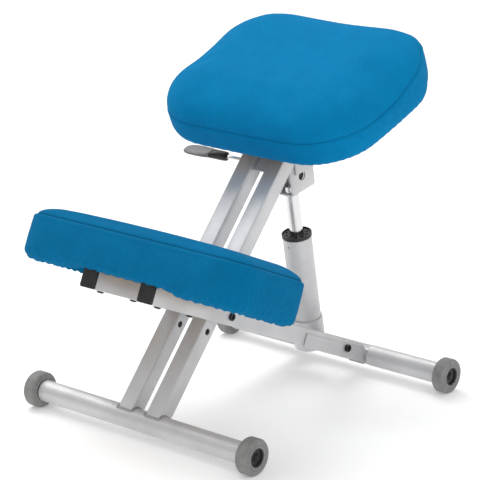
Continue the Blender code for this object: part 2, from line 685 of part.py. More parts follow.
def knee_rest():
    bottom = TUBE / 2 + GAP
    middle = on_beam(KNEE_ALONG, bottom + GAP + KNEE_SIZE[2] / 2)
    board_size = (KNEE_SIZE[0] - 2 * SKIRT, KNEE_SIZE[1] - 2 * SKIRT, BOARD)
    cushion("knee_cushion", KNEE_SIZE, 0.040, 0.020, 0.012, middle, -SLOPE, board_size)
    board_middle = on_beam(KNEE_ALONG, bottom + BOARD / 2)
    board = box("knee_board", board_size, board_middle, -SLOPE, 2, 0.040, 4)
    for side, sign in SIDES:
        for index, along in enumerate(KNEE_SCREWS):
            label = "%s_%d" % (side, index + 1)
            at = on_beam(along, -TUBE / 2, sign * BEAM_X)
            length = TUBE + GAP + BOARD * 0.7
            head = 0.0028
            profile = [
                (0.0, length), (0.0028, length), (0.0030, length - 0.001), (0.0030, -GAP), (0.0062, -GAP),
                (0.0062, -GAP - 0.4 * head), (0.0040, -GAP - head), (0.0, -GAP - head),
            ]
            smooth(turned("knee_screw_" + label, profile, at, (-SLOPE, 0.0, 0.0), 12))
            hole = on_beam(along, bottom, sign * BEAM_X)
            cut(board, round_cutter("board_hole_" + label, SCREW_BORE, 0.016, hole, (-SLOPE, 0, 0), 12))


def seat():
    skirt_low = -SEAT_SIZE[2] / 2
    board_size = (SEAT_SIZE[0] - 2 * SKIRT, SEAT_SIZE[1] - 2 * SKIRT, BOARD)
    made = cushion("seat_cushion", SEAT_SIZE, 0.082, 0.038, 0.014, SEAT_CENTRE, SEAT_TILT, board_size)
    hang_on(made, SEAT_FRAME_AXIS)
    board_middle = on_seat(0.0, skirt_low + BOARD / 2)
    board = box("seat_board", board_size, board_middle, SEAT_TILT, 2, 0.080, 5)
    hang_on(board, SEAT_FRAME_AXIS)
    plate_middle = on_seat(0.0, skirt_low - GAP - SEAT_PLATE / 2)
    plate = box("seat_plate", (*SEAT_PLATE_SIZE, SEAT_PLATE), plate_middle, SEAT_TILT, 2, 0.012, 3)
    hang_on(plate, SEAT_FRAME_AXIS)


# Parenting: each moving piece hangs on an empty that stands on its joint's axis.
def axis_marker(name, where):
    marker = bpy.data.objects.new(name, None)
    marker.location = where
    marker.empty_display_size = 0.05
    PARTS.objects.link(marker)
    return marker


def hang_on(piece, marker):
    piece.parent = marker
    piece.matrix_parent_inverse = Matrix.Translation(marker.location).inverted()


def all_looks():
    steel = [
        "front_foot_tube", "rear_foot_tube_left", "rear_foot_tube_right", "rear_cross_tube",
        "inner_tube_left", "inner_tube_right", "outer_beam_left", "outer_beam_right", "tube_tie_plate",
        "beam_side_plate_left", "beam_side_plate_right", "column_socket", "gas_column", "rod_bracket",
        "seat_bracket", "pivot_washer_left", "pivot_washer_right",
    ]
    black = [
        "side_bolt_left", "side_bolt_right", "pivot_bolt", "pivot_nut", "lift_pin", "seat_plate",
        "trunnion_pin_left", "trunnion_pin_right",
    ]
    black += ["knee_screw_%s_%d" % (side, index) for side, _ in SIDES for index in (1, 2)]
    plastic = ["beam_end_plug_left", "beam_end_plug_right", "column_collar"]
    rubber = []
    for end in ("front", "rear"):
        for side, _ in SIDES:
            plastic += ["hub_%s_%s" % (end, side), "stub_axle_%s_%s" % (end, side)]
            rubber.append("tyre_%s_%s" % (end, side))
    groups = [
        (steel, BRIGHT_STEEL), (black, BLACK_STEEL), (plastic, BLACK_PLASTIC), (rubber, GREY_RUBBER),
        (["gas_rod", "lever_rod"], CHROME), (["release_pin"], BRIGHT_STEEL),
        (["lever_paddle"], LEVER_GREY), (["knee_cushion", "seat_cushion"], BLUE_FABRIC),
        (["knee_board", "seat_board"], PLYWOOD),
    ]
    return {name: material(name, look) for names, look in groups for name in names}


clear_scene()
PARTS = new_collection("kneeling_chair")
CUTTERS = new_collection("cutters")
LOOKS = all_looks()
SEAT_FRAME_AXIS = axis_marker("seat_frame_axis", PIVOT)
COLUMN_AXIS = axis_marker("column_axis", COLUMN_PIVOT)

feet()
rollers()
inner_tubes()
outer_beams()
main_pivot()
socket()
gas_column()
column_collar()
gas_rod()
rod_bracket()
seat_bracket()
release_lever()
knee_rest()
seat()
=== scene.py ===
import json
import math

import bmesh
import bpy
from mathutils import Matrix, Vector


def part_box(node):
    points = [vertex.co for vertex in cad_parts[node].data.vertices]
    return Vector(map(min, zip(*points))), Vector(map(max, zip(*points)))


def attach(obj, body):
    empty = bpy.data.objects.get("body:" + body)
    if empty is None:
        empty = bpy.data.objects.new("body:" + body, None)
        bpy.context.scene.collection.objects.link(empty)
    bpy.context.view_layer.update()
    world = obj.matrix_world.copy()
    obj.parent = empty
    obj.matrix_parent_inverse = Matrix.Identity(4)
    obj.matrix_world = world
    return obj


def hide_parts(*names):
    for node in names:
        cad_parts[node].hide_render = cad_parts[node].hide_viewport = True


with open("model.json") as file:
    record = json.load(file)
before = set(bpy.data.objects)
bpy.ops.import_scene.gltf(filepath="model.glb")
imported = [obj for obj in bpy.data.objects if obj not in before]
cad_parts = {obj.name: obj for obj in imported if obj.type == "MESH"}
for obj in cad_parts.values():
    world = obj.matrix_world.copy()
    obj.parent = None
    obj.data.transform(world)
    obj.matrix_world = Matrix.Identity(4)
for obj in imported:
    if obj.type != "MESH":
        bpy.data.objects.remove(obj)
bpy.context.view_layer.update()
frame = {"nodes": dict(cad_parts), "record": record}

scene = bpy.context.scene
nodes = frame["nodes"]
mounts = {mount["name"]: mount for mount in frame["record"]["mounts"]}
jointRows = {row["name"]: row for row in frame["record"]["behaviour"]["joints"]}
print("frame loaded:", len(nodes), "nodes")

seatLean = math.radians(20.5)
kneeLean = math.radians(-23.21)
tubeLean = math.radians(-40.16)
columnLean = math.radians(11.25)


def newMaterial(name, colour, roughness, metallic=0.0):
    material = bpy.data.materials.new(name)
    material.use_nodes = True
    shader = material.node_tree.nodes["Principled BSDF"]
    shader.inputs["Base Color"].default_value = (*colour, 1.0)
    shader.inputs["Roughness"].default_value = roughness
    shader.inputs["Metallic"].default_value = metallic
    return material, material.node_tree, shader


def addNode(tree, kind, **values):
    node = tree.nodes.new(kind)
    for key, value in values.items():
        setattr(node, key, value)
    return node


def objectCoords(tree, scale=(1, 1, 1)):
    coords = addNode(tree, "ShaderNodeTexCoord")
    mapping = addNode(tree, "ShaderNodeMapping")
    mapping.inputs["Scale"].default_value = scale
    tree.links.new(coords.outputs["Object"], mapping.inputs["Vector"])
    return mapping.outputs["Vector"]


def noise(tree, vector, scale, detail=4.0, roughness=0.5):
    node = addNode(tree, "ShaderNodeTexNoise")
    node.inputs["Scale"].default_value = scale
    node.inputs["Detail"].default_value = detail
    node.inputs["Roughness"].default_value = roughness
    tree.links.new(vector, node.inputs["Vector"])
    return node.outputs["Fac"]


def spread(tree, value, low, high, fromLow=0.3, fromHigh=0.7):
    node = addNode(tree, "ShaderNodeMapRange")
    node.inputs["From Min"].default_value = fromLow
    node.inputs["From Max"].default_value = fromHigh
    node.inputs["To Min"].default_value = low
    node.inputs["To Max"].default_value = high
    tree.links.new(value, node.inputs["Value"])
    return node.outputs["Result"]


def blendColours(tree, factor, first, second):
    node = addNode(tree, "ShaderNodeMix", data_type="RGBA")
    node.inputs["A"].default_value = (*first, 1.0)
    node.inputs["B"].default_value = (*second, 1.0)
    tree.links.new(factor, node.inputs["Factor"])
    return node.outputs["Result"]


def bump(tree, shader, height, strength, distance):
    node = addNode(tree, "ShaderNodeBump")
    node.inputs["Strength"].default_value = strength
    node.inputs["Distance"].default_value = distance
    tree.links.new(height, node.inputs["Height"])
    tree.links.new(node.outputs["Normal"], shader.inputs["Normal"])


def combine(tree, operation, first, second):
    node = addNode(tree, "ShaderNodeMath", operation=operation)
    for socket, value in zip(node.inputs, (first, second)):
        if isinstance(value, (int, float)):
            socket.default_value = value
        else:
            tree.links.new(value, socket)
    return node.outputs["Value"]


frameSteel = {
    "light": (0.68, 0.68, 0.69), "dark": (0.58, 0.58, 0.59), "roughness": 0.46, "metallic": 0.40,
    "smoothest": 0.40, "roughest": 0.52, "coat": 0.15, "coatRoughness": 0.25,
}


def makeFrameSteel():
    # satin silver powder coat: fine orange peel, faint cloudiness
    light, dark = frameSteel["light"], frameSteel["dark"]
    material, tree, shader = newMaterial("frameSteel", light, frameSteel["roughness"], frameSteel["metallic"])
    vector = objectCoords(tree)
    clouds = noise(tree, vector, 14.0, 5.0)
    grain = noise(tree, vector, 900.0, 2.0)
    colour = blendColours(tree, spread(tree, clouds, 0.0, 1.0), light, dark)
    tree.links.new(colour, shader.inputs["Base Color"])
    cloudy = spread(tree, clouds, frameSteel["smoothest"], frameSteel["roughest"])
    rough = combine(tree, "ADD", cloudy, spread(tree, grain, -0.03, 0.03))
    tree.links.new(rough, shader.inputs["Roughness"])
    bump(tree, shader, grain, 0.12, 0.0003)
    shader.inputs["Coat Weight"].default_value = frameSteel["coat"]
    shader.inputs["Coat Roughness"].default_value = frameSteel["coatRoughness"]
    return material


def makeMetal(name, colour, roughness, metallic, scratchScale=(1, 1, 1), strength=0.05):
    material, tree, shader = newMaterial(name, colour, roughness, metallic)
    vector = objectCoords(tree, scale=scratchScale)
    streaks = noise(tree, vector, 700.0, 3.0)
    clouds = noise(tree, objectCoords(tree), 40.0, 4.0)
    tree.links.new(spread(tree, clouds, roughness * 0.75, roughness * 1.4), shader.inputs["Roughness"])
    darker = tuple(channel * 0.82 for channel in colour)
    brushed = blendColours(tree, spread(tree, streaks, 0.0, 1.0), colour, darker)
    tree.links.new(brushed, shader.inputs["Base Color"])
    bump(tree, shader, streaks, strength, 0.0002)
    return material


def makePlastic(name, colour, roughness):
    # moulded plastic: fine spark grain and slightly rubbed patches
    material, tree, shader = newMaterial(name, colour, roughness)
    vector = objectCoords(tree)
    grain = noise(tree, vector, 1200.0, 2.0)
    patches = noise(tree, vector, 60.0, 4.0)
    paler = tuple(min(1.0, channel * 1.5 + 0.006) for channel in colour)
    mottled = blendColours(tree, spread(tree, patches, 0.0, 0.7), colour, paler)
    tree.links.new(mottled, shader.inputs["Base Color"])
    tree.links.new(spread(tree, patches, roughness - 0.08, roughness + 0.12), shader.inputs["Roughness"])
    bump(tree, shader, grain, 0.25, 0.0003)
    return material


rubberLook = {"colour": (0.20, 0.205, 0.20), "clean": (0.19, 0.195, 0.19), "dusty": (0.29, 0.295, 0.285)}


def makeRubber():
    # grey rubber with a little floor dust
    material, tree, shader = newMaterial("rollerRubber", rubberLook["colour"], 0.62)
    vector = objectCoords(tree)
    dust = noise(tree, vector, 90.0, 6.0, 0.6)
    grain = noise(tree, vector, 1500.0, 2.0)
    worn = blendColours(tree, spread(tree, dust, 0.0, 1.0), rubberLook["clean"], rubberLook["dusty"])
    tree.links.new(worn, shader.inputs["Base Color"])
    tree.links.new(spread(tree, dust, 0.50, 0.78), shader.inputs["Roughness"])
    bump(tree, shader, grain, 0.3, 0.0003)
    return material


woodLook = {"colour": (0.45, 0.32, 0.19), "pale": (0.50, 0.36, 0.21), "dark": (0.33, 0.21, 0.11)}


def makeWood():
    # plywood with its grain along the board
    material, tree, shader = newMaterial("plywood", woodLook["colour"], 0.7)
    vector = objectCoords(tree, scale=(1.0, 14.0, 14.0))
    grain = noise(tree, vector, 9.0, 6.0, 0.6)
    streaked = blendColours(tree, spread(tree, grain, 0.0, 1.0), woodLook["pale"], woodLook["dark"])
    tree.links.new(streaked, shader.inputs["Base Color"])
    tree.links.new(spread(tree, grain, 0.6, 0.85), shader.inputs["Roughness"])
    bump(tree, shader, grain, 0.3, 0.0006)
    return material


# the third fabric colour is painted shade for the seam's groove
fabricLook = {
    "colour": (0.002, 0.275, 0.585), "shade": (0.001, 0.165, 0.37), "paintedSeamShade": (0.001, 0.090, 0.20),
    "stitch": 0.0013, "seamHalf": 0.0011, "sheen": 0.03, "specular": 0.06,
}


def cushionCoords(tree, look, centre):
    # the cushion's own frame: its middle at the origin, its thickness along Z
    turn = Matrix.Rotation(-look["lean"], 3, "X")
    coords = addNode(tree, "ShaderNodeTexCoord")
    mapping = addNode(tree, "ShaderNodeMapping")
    mapping.inputs["Rotation"].default_value = (-look["lean"], 0.0, 0.0)
    mapping.inputs["Location"].default_value = -(turn @ centre)
    tree.links.new(coords.outputs["Object"], mapping.inputs["Vector"])
    return mapping.outputs["Vector"]


def wave(tree, vector, pitch, direction, distortion):
    # the texture repeats every 0.314 m at a scale of 1
    node = addNode(tree, "ShaderNodeTexWave", wave_type="BANDS", wave_profile="SIN")
    node.bands_direction = direction
    node.inputs["Scale"].default_value = 0.314 / pitch
    node.inputs["Distortion"].default_value = distortion
    node.inputs["Detail"].default_value = 1.0
    tree.links.new(vector, node.inputs["Vector"])
    return node.outputs["Fac"]


def seamShadow(tree, vector, look):
    # 1 in the stitched groove, 0 away from it
    split = addNode(tree, "ShaderNodeSeparateXYZ")
    tree.links.new(vector, split.inputs["Vector"])
    level = addNode(tree, "ShaderNodeMapRange", interpolation_type="SMOOTHSTEP")
    level.inputs["From Min"].default_value = look["seamFrom"]
    level.inputs["From Max"].default_value = look["size"][1] / 2
    level.inputs["To Min"].default_value = look["seamFront"]
    level.inputs["To Max"].default_value = look["seam"]
    tree.links.new(split.outputs["Y"], level.inputs["Value"])
    above = combine(tree, "SUBTRACT", split.outputs["Z"], level.outputs["Result"])
    away = combine(tree, "ABSOLUTE", above, 0.0)
    half = fabricLook["seamHalf"]
    return spread(tree, away, 1.0, 0.0, half * 0.4, half * 1.6)


def makeFabric(look, centre):
    # fine knit: ribs and courses of stitches, soft fuzz, faint cloudiness, painted shade in the stitch
    # valleys and a line of painted shade in the seam's groove
    tones = (fabricLook["colour"], fabricLook["shade"], fabricLook["paintedSeamShade"])
    # the look's tone scales all three colours; below 1 it is painted shade
    colour, shade, paintedSeamShade = (tuple(channel * look["tone"] for channel in tone) for tone in tones)
    material, tree, shader = newMaterial(look["name"] + "Knit", colour, 0.9)
    vector = cushionCoords(tree, look, centre)
    ribs = wave(tree, vector, fabricLook["stitch"], "X", 0.6)
    courses = wave(tree, vector, fabricLook["stitch"] * 1.2, "DIAGONAL", 0.8)
    fuzz = noise(tree, vector, 1600.0, 2.0)
    clouds = noise(tree, vector, 26.0, 5.0)
    stitches = combine(tree, "MULTIPLY", ribs, courses)
    height = combine(tree, "ADD", stitches, combine(tree, "MULTIPLY", fuzz, 0.5))
    heather = noise(tree, vector, 480.0, 2.0, 0.6)
    # the shade colour is mixed in as random cloud and heather tone, and as painted shade in the stitch
    # valleys where the stitch height is low
    tint = combine(tree, "ADD", spread(tree, clouds, 0.0, 0.22), spread(tree, height, 0.35, 0.0, 0.0, 1.0))
    tint = combine(tree, "ADD", tint, spread(tree, heather, 0.0, 0.5))
    knit = blendColours(tree, tint, colour, shade)
    # painted shade: the seam's groove is darkened towards the seam's shade colour, as strongly as the look's
    # seam strength says
    seam = addNode(tree, "ShaderNodeMix", data_type="RGBA")
    groove = combine(tree, "MULTIPLY", seamShadow(tree, vector, look), look["paintedSeamStrength"])
    tree.links.new(groove, seam.inputs["Factor"])
    tree.links.new(knit, seam.inputs["A"])
    seam.inputs["B"].default_value = (*paintedSeamShade, 1.0)
    tree.links.new(seam.outputs["Result"], shader.inputs["Base Color"])
    tree.links.new(spread(tree, fuzz, 0.82, 0.97), shader.inputs["Roughness"])
    bump(tree, shader, height, 0.5, 0.0006)
    shader.inputs["Sheen Weight"].default_value = fabricLook["sheen"]
    shader.inputs["Sheen Roughness"].default_value = 0.4
    shader.inputs["Sheen Tint"].default_value = (0.25, 0.55, 0.95, 1.0)
    shader.inputs["Specular IOR Level"].default_value = fabricLook["specular"]
    return material


looks = {
    "frame_steel": makeFrameSteel(),
    "black_fasteners": makeMetal("blackOxide", (0.012, 0.012, 0.014), 0.36, 0.4),
    "zinc": makeMetal("brightZinc", (0.62, 0.62, 0.63), 0.3, 1.0),
    "black_plastic": makePlastic("blackPlastic", (0.008, 0.008, 0.0085), 0.42),
    "roller_rubber": makeRubber(),
    "chrome": makeMetal("chromedSteel", (0.78, 0.78, 0.79), 0.14, 1.0, (40.0, 40.0, 1.0), 0.03),
    "black_plate": makeMetal("blackPaint", (0.03, 0.03, 0.032), 0.5, 0.3),
    "lever_plastic": makePlastic("leverGrey", (0.17, 0.17, 0.175), 0.4),
    "plywood": makeWood(),
}
print("materials made")


def finishPiece(name, shape, body, material, replaced=(), smoothAngle=40.0):
    mesh = bpy.data.meshes.new(name)
    shape.to_mesh(mesh)
    shape.free()
    mesh.shade_smooth()
    mesh.set_sharp_from_angle(angle=math.radians(smoothAngle))
    mesh.materials.append(material)
    piece = bpy.data.objects.new(name, mesh)
    scene.collection.objects.link(piece)
    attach(piece, body)
    if replaced:
        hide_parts(*replaced)


def along(shape, location, turn):
    shape.transform(Matrix.Translation(Vector(location)) @ turn)
    return shape


seatLook = {
    "name": "seatPad", "node": "seat_cushion", "mount": "seat_top", "body": "seat_frame", "lean": seatLean,
    "thick": 0.104, "size": (0.402, 0.320, 0.106), "corner": 0.096, "hem": 0.024,
    "roofWidth": 0.082, "roofPower": 0.52,
    "seam": 0.026, "seamFront": -0.003, "seamFrom": -0.04, "paintedSeamStrength": 0.4, "welt": 0.0008,
    "saddle": 0.004, "backCorner": 0.008, "bulge": (0.009, 0.004), "endDrop": 0.0, "sag": 0.0,
    "pocket": (0.1785, 0.1375, 0.080, 0.0115), "ripple": 0.0003, "tone": 1.0, "cap": 0.003, "pressure": 2.0,
}
# the knee pad's tone of 0.72 is painted shade: the seat's fabric darkened because the knee pad's front faces
# away from the light
kneeLook = {
    "name": "kneePad", "node": "knee_cushion", "mount": "knee_top", "body": "base_frame", "lean": kneeLean,
    "thick": 0.080, "size": (0.462, 0.199, 0.084), "corner": 0.044, "hem": 0.016,
    "roofWidth": 0.034, "roofPower": 0.80,
    "seam": 0.026, "seamFront": 0.026, "seamFrom": -0.05, "paintedSeamStrength": 0.7, "welt": 0.0009,
    "saddle": 0.0, "backCorner": 0.0, "bulge": (0.003, 0.003), "endDrop": 0.005, "sag": 0.0075,
    "pocket": (0.2115, 0.078, 0.040, 0.0115), "ripple": 0.0009, "tone": 0.72, "cap": 0.003, "pressure": 2.0,
}


def remesh(piece, voxel):
    modifier = piece.modifiers.new("Remesh", "REMESH")
    modifier.mode = "VOXEL"
    modifier.voxel_size = voxel
    applyModifiers(piece)


def applyModifiers(piece):
    graph = bpy.context.evaluated_depsgraph_get()
    graph.update()
    mesh = bpy.data.meshes.new_from_object(piece.evaluated_get(graph))
    piece.modifiers.clear()
    old = piece.data
    piece.data = mesh
    bpy.data.meshes.remove(old)


clothLook = {"held": 0.012, "quality": 5, "stiffness": 25.0, "bending": 2.0, "frames": 20, "smoothings": 6}


def swell(piece, pressure, cap):
    # the underside is held by its board, and the rest swells
    start = [vertex.co.copy() for vertex in piece.data.vertices]
    lowest = min(point.z for point in start)
    held = piece.vertex_groups.new(name="held")
    level = lowest + clothLook["held"]
    held.add([index for index, point in enumerate(start) if point.z < level], 1.0, "REPLACE")
    cloth = piece.modifiers.new("Cloth", "CLOTH")
    settings = cloth.settings
    settings.quality = clothLook["quality"]
    settings.use_pressure = True
    settings.uniform_pressure_force = pressure
    settings.effector_weights.gravity = 0.0
    settings.tension_stiffness = clothLook["stiffness"]
    settings.compression_stiffness = clothLook["stiffness"]
    settings.bending_stiffness = clothLook["bending"]
    settings.vertex_group_mass = "held"
    cloth.collision_settings.use_collision = False
    cloth.collision_settings.use_self_collision = False
    for number in range(1, clothLook["frames"] + 1):
        scene.frame_set(number)
    applyModifiers(piece)
    for vertex, home in zip(piece.data.vertices, start):
        move = vertex.co - home
        if move.length > cap:
            vertex.co = home + move.normalized() * cap
    scene.frame_set(1)
    soft = bmesh.new()
    soft.from_mesh(piece.data)
    for _ in range(clothLook["smoothings"]):
        bmesh.ops.smooth_vert(
            soft, verts=soft.verts, factor=0.5, use_axis_x=True, use_axis_y=True, use_axis_z=True,
        )
    soft.to_mesh(piece.data)
    soft.free()


def smoothStep(low, high, value):
    t = min(1.0, max(0.0, (value - low) / (high - low)))
    return t * t * (3.0 - 2.0 * t)


def insideBy(x, y, halfX, halfY, corner):
    # how far a point lies inside a rectangle with rounded corners
    acrossX = abs(x) - (halfX - corner)
    acrossY = abs(y) - (halfY - corner)
    return corner - math.hypot(max(acrossX, 0.0), max(acrossY, 0.0)) - min(max(acrossX, acrossY), 0.0)


def seamLevel(look, y):
    climb = smoothStep(look["seamFrom"], look["size"][1] / 2, y)
    return look["seamFront"] + (look["seam"] - look["seamFront"]) * climb


hangLook = {"saddleWidth": 0.08, "frontFrom": 0.0085, "frontTo": 0.0035, "sideFrom": 0.090, "sideTo": 0.120}


def raiseRoof(look, mesh):
    # the top panel climbs from the seam to a crown, and the outline bows out between its corners
    halfX, halfY, halfZ = (side / 2 for side in look["size"])
    for vertex in mesh.vertices:
        x, y, z = vertex.co
        u, v = x / halfX, y / halfY
        level = seamLevel(look, y)
        if z > level:
            t = min(1.0, max(0.0, insideBy(x, y, halfX, halfY, look["corner"])) / look["roofWidth"])
            z = level + (z - level) * (t * (2.0 - t)) ** look["roofPower"]
        top = smoothStep(0.0, halfZ, z)
        dip = look["saddle"] * smoothStep(0.2, 1.0, v) * math.exp(-((x / hangLook["saddleWidth"]) ** 2))
        z -= top * (dip + look["endDrop"] * u * u)
        # the hem hangs past the board in front of the beams' ends and beside them
        infront = smoothStep(-halfY + hangLook["frontFrom"], -halfY + hangLook["frontTo"], y)
        beside = smoothStep(hangLook["sideFrom"], hangLook["sideTo"], abs(x))
        z -= look["sag"] * max(infront, beside) * smoothStep(0.5 * halfZ, -halfZ, z)
        pull = look["backCorner"] * smoothStep(0.4, 1.0, abs(u)) * smoothStep(0.4, 1.0, v)
        bowX = look["bulge"][0] * (1 - v * v) * smoothStep(0.3, 1.0, abs(u)) - pull
        bowY = look["bulge"][1] * (1 - u * u) * smoothStep(0.3, 1.0, abs(v)) - pull
        vertex.co = (x + math.copysign(bowX, x), y + math.copysign(bowY, y), z)
    mesh.update()


sewLook = {
    "sideDepth": 0.035, "groove": 0.0018, "grooveWidth": 0.0024, "weltBelow": 0.0045, "weltWidth": 0.003,
    "hemFrom": 0.016, "hemTo": 0.003, "gather": 0.021, "fineGather": 0.0134, "boardGap": 0.0008,
}


def sewCushion(look, mesh):
    # the seam's groove and welt, the gathered hem and the board's recess
    halfZ = look["size"][2] / 2
    outward = [vertex.normal.copy() for vertex in mesh.vertices]
    pocketX, pocketY, pocketCorner, depth = look["pocket"]
    floorLevel = depth - look["thick"] / 2
    for vertex, normal in zip(mesh.vertices, outward):
        x, y, z = vertex.co
        gap = z - seamLevel(look, y)
        inside = insideBy(x, y, look["size"][0] / 2, look["size"][1] / 2, look["corner"])
        side = smoothStep(sewLook["sideDepth"], 0.0, inside)
        groove = sewLook["groove"] * math.exp(-((gap / sewLook["grooveWidth"]) ** 2)) * side
        below = (gap + sewLook["weltBelow"]) / sewLook["weltWidth"]
        welt = look["welt"] * math.exp(-(below ** 2)) * side
        hem = smoothStep(-halfZ + sewLook["hemFrom"], -halfZ + sewLook["hemTo"], z)
        wide = math.sin((x + y * 1.3) * 2 * math.pi / sewLook["gather"])
        ripple = wide + 0.6 * math.sin((x - y) * 2 * math.pi / sewLook["fineGather"])
        vertex.co += normal * (welt - groove + look["ripple"] * hem * ripple)
        if insideBy(x, y, pocketX, pocketY, pocketCorner) > -sewLook["boardGap"] and z < floorLevel:
            vertex.co.z = floorLevel + sewLook["boardGap"]
    mesh.update()


def padBlock(look):
    # a block with upright corners rounded and its lower rim turned under
    shape = bmesh.new()
    bmesh.ops.create_cube(shape, size=1.0)
    bmesh.ops.scale(shape, vec=look["size"], verts=shape.verts)
    upright = [edge for edge in shape.edges if abs((edge.verts[0].co - edge.verts[1].co).z) > 0.01]
    bmesh.ops.bevel(
        shape, geom=upright, offset=look["corner"], offset_type="OFFSET", segments=12, profile=0.5,
        affect="EDGES", material=-1,
    )
    low = -look["size"][2] / 2
    rim = [edge for edge in shape.edges if all(abs(vertex.co.z - low) < 1e-6 for vertex in edge.verts)]
    bmesh.ops.bevel(
        shape, geom=rim, offset=look["hem"], offset_type="OFFSET", segments=6, profile=0.5,
        affect="EDGES", material=-1,
    )
    mesh = bpy.data.meshes.new(look["name"])
    shape.to_mesh(mesh)
    shape.free()
    return mesh


def makeCushion(look):
    mount = mounts[look["mount"]]
    centre = Vector(mount["pos_m"]) - Vector(mount["axis"]).normalized() * look["thick"] / 2
    piece = bpy.data.objects.new(look["name"], padBlock(look))
    scene.collection.objects.link(piece)
    remesh(piece, 0.006)
    raiseRoof(look, piece.data)
    remesh(piece, 0.005)
    swell(piece, look["pressure"], look["cap"])
    divide = piece.modifiers.new("Subdivision", "SUBSURF")
    divide.levels = 1
    divide.render_levels = 1
    applyModifiers(piece)
    sewCushion(look, piece.data)
    piece.data.transform(Matrix.Translation(centre) @ Matrix.Rotation(look["lean"], 4, "X"))
    piece.data.shade_smooth()
    piece.data.materials.clear()
    piece.data.materials.append(makeFabric(look, centre))
    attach(piece, look["body"])
    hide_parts(look["node"])
    print("cushion", look["name"], len(piece.data.vertices), "points")


makeCushion(seatLook)
makeCushion(kneeLook)


leverLook = {
    "neck": [
        (0.000, 0.0058, 0.0058), (-0.002, 0.0078, 0.0078), (-0.010, 0.0086, 0.0084),
        (-0.022, 0.0094, 0.0080), (-0.034, 0.0118, 0.0066), (-0.038, 0.0110, 0.0050),
    ],
    "paddle": [
        (-0.032, 0.0100, 0.0030), (-0.036, 0.0128, 0.0056), (-0.046, 0.0150, 0.0052),
        (-0.062, 0.0164, 0.0046), (-0.078, 0.0160, 0.0042), (-0.088, 0.0138, 0.0038),
        (-0.094, 0.0095, 0.0030), (-0.096, 0.0045, 0.0014),
    ],
    "tilt": 16.0, "inset": 0.004,
}


def loftAlongX(sections, segments=28):
    # a ring that is extruded and resized from one (x, half width, half thickness) to the next
    shape = bmesh.new()
    bmesh.ops.create_circle(shape, cap_ends=True, segments=segments, radius=1.0)
    upright = Matrix.Rotation(math.radians(90), 3, "Y")
    bmesh.ops.rotate(shape, cent=(0, 0, 0), matrix=upright, verts=shape.verts)
    x, wide, thick = sections[0]
    for vertex in shape.verts:
        vertex.co = (x, vertex.co.y * wide, vertex.co.z * thick)
    face = list(shape.faces)[0]
    for nextX, nextWide, nextThick in sections[1:]:
        grown = bmesh.ops.extrude_face_region(shape, geom=[face])["geom"]
        newFace = [item for item in grown if isinstance(item, bmesh.types.BMFace)][0]
        for vertex in newFace.verts:
            vertex.co = (nextX, vertex.co.y * nextWide / wide, vertex.co.z * nextThick / thick)
        wide, thick = nextWide, nextThick
        face = newFace
    bmesh.ops.remove_doubles(shape, verts=shape.verts, dist=0.00001)
    inner = [item for item in shape.faces if len(item.verts) == segments and item is not face]
    caps = sorted(inner, key=lambda item: item.calc_center_median().x)
    bmesh.ops.delete(shape, geom=caps[:-1], context="FACES_ONLY")
    bmesh.ops.recalc_face_normals(shape, faces=shape.faces)
    return shape


def makeLever():
    lowest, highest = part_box("lever_paddle")
    middleY, middleZ = (lowest[1] + highest[1]) / 2, (lowest[2] + highest[2]) / 2
    place = Vector((highest[0] + leverLook["inset"], middleY, middleZ))
    turn = Matrix.Rotation(math.radians(leverLook["tilt"]), 4, "X")
    neck = along(loftAlongX(leverLook["neck"]), place, turn)
    finishPiece("leverNeck", neck, "lever", looks["black_plastic"])
    paddle = along(loftAlongX(leverLook["paddle"]), place, turn)
    grey = looks["lever_plastic"]
    finishPiece("leverPaddle", paddle, "lever", grey, ("lever_paddle",))


makeLever()
print("lever made")


bushLook = {"along": 0.3087, "out": 0.0137, "radius": 0.0080, "half": 0.0126, "dish": 0.0015, "rim": 0.0025}


def makeBush():
    # the dark bush that shows through the rod bracket's round window
    foot = Vector(jointRows["column_tilt"]["pos_m"])
    lean = Matrix.Rotation(columnLean, 3, "X")
    centre = foot + lean @ Vector((0.0, bushLook["out"], bushLook["along"]))
    shape = bmesh.new()
    turn = Matrix.Translation(centre) @ Matrix.Rotation(math.radians(90), 4, "Y")
    bmesh.ops.create_cone(
        shape, cap_ends=True, segments=40, radius1=bushLook["radius"], radius2=bushLook["radius"],
        depth=2 * bushLook["half"],
    )
    ends = [face for face in shape.faces if len(face.verts) > 4]
    for end in ends:
        bmesh.ops.inset_region(shape, faces=[end], thickness=bushLook["rim"], use_even_offset=True)
        outward = math.copysign(1.0, end.calc_center_median().z)
        bmesh.ops.translate(shape, vec=(0.0, 0.0, -outward * bushLook["dish"]), verts=end.verts)
    shape.transform(turn)
    bmesh.ops.recalc_face_normals(shape, faces=shape.faces)
    finishPiece("bracketBush", shape, "rod", looks["black_plastic"])


makeBush()
print("bush made")


weldLook = {
    "bead": 0.0021, "pitch": 0.0042, "step": 0.0014, "thin": 0.85, "swell": 0.25, "sides": 8,
    "lift": 0.0004, "aside": 0.0008, "front": -0.0172, "back": 0.0133, "underside": 0.002,
}


def closedBead(points):
    # rings whose size swells and shrinks with each ripple, bridged one to the next and back to the first
    shape = bmesh.new()
    rings = []
    for index, point in enumerate(points):
        ahead = points[(index + 1) % len(points)] - points[index - 1]
        turn = ahead.to_track_quat("Z", "Y").to_matrix().to_4x4()
        crest = abs(math.sin(math.pi * index * weldLook["step"] / weldLook["pitch"]))
        radius = weldLook["bead"] * (weldLook["thin"] + weldLook["swell"] * crest)
        place = Matrix.Translation(point) @ turn
        made = bmesh.ops.create_circle(shape, segments=weldLook["sides"], radius=radius, matrix=place)
        ring = made["verts"]
        rings.append(list({edge for vertex in ring for edge in vertex.link_edges}))
    for ring, nextRing in zip(rings, rings[1:] + rings[:1]):
        bmesh.ops.bridge_loops(shape, edges=ring + nextRing)
    bmesh.ops.recalc_face_normals(shape, faces=shape.faces)
    return shape


